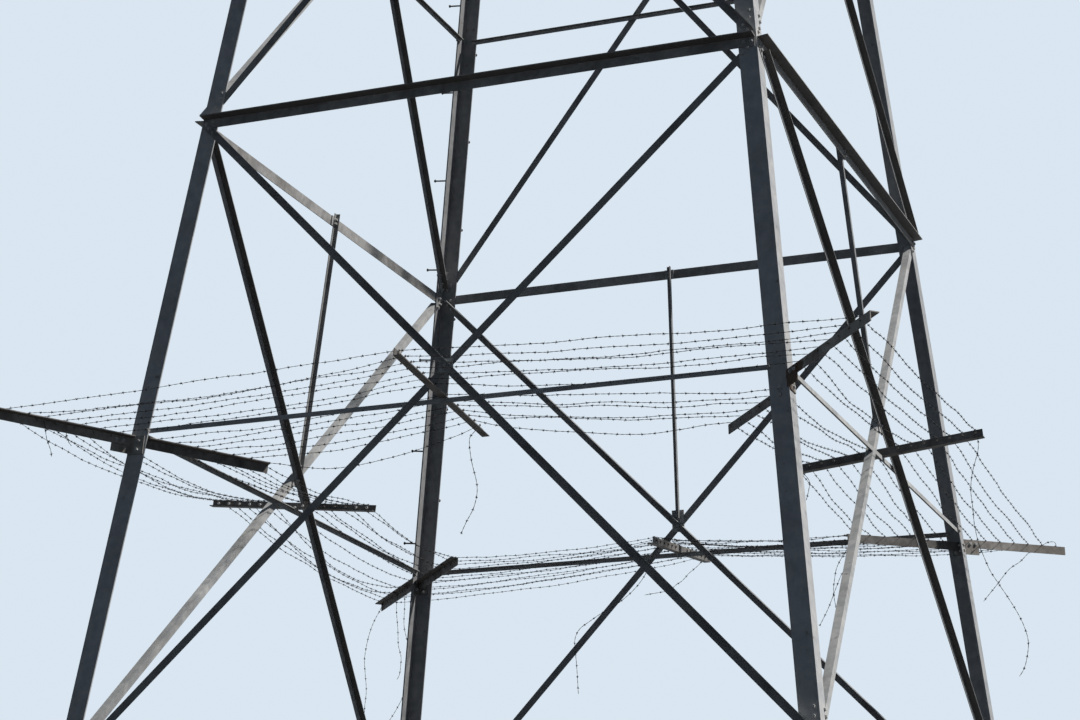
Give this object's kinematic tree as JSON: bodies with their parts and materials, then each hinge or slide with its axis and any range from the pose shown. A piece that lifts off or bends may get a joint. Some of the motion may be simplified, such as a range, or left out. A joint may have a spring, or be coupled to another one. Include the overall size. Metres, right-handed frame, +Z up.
{
  "type": "lattice transmission pylon",
  "caption": "Tall four-legged steel lattice pylon with crossed bracing, a barbed anti-climb guard, three levels of crossarms and hanging insulator strings.",
  "frame": {"origin": "middle of the square between the four feet, on the ground", "axes": "+Z up; X along the crossarms; -Y towards the front face, the one without a hanger; the line conductors run along Y"},
  "size_m": [9.186, 7.3142, 34.655],
  "materials": {
    "leg_steel": "weathered galvanised",
    "brace_steel": "weathered galvanised",
    "guard_steel": "weathered galvanised with rust stains",
    "barbed_wire": "dull galvanised wire",
    "porcelain": "brown glazed porcelain"
  },
  "bodies": {
    "root": {"feet": "leg_steel", "leg_a": "leg_steel", "leg_b": "leg_steel", "leg_c": "leg_steel", "leg_d": "leg_steel", "upper_legs": "leg_steel", "cage_legs": "leg_steel", "leg_splices": "leg_steel", "front_bracing": "brace_steel", "right_bracing": "brace_steel", "back_bracing": "brace_steel", "left_bracing": "brace_steel", "front_upper_bracing": "brace_steel", "right_upper_bracing": "brace_steel", "back_upper_bracing": "brace_steel", "left_upper_bracing": "brace_steel", "girt": "leg_steel", "guard_horizontals": "guard_steel", "upper_horizontals": "brace_steel", "waist_ring": "leg_steel", "hangers": "brace_steel", "crossing_plates": "brace_steel", "guard_arms_mid": "guard_steel", "guard_arms_outer": "guard_steel", "guard_arms_inner": "guard_steel", "front_strands": "barbed_wire", "right_strands": "barbed_wire", "back_strands": "barbed_wire", "left_strands": "barbed_wire", "cage_front_lacing": "brace_steel", "cage_right_lacing": "brace_steel", "cage_back_lacing": "brace_steel", "cage_left_lacing": "brace_steel", "cage_rings": "brace_steel", "plan_bracing": "brace_steel", "crossarms_right": "leg_steel", "crossarms_left": "leg_steel", "crossarm_lacing": "brace_steel", "crossarm_struts": "brace_steel", "tip_plates": "leg_steel", "peak": "leg_steel", "peak_lacing": "brace_steel", "peak_plate": "leg_steel", "insulators_right": "porcelain", "insulators_left": "porcelain"}
  },
  "joints": []
}
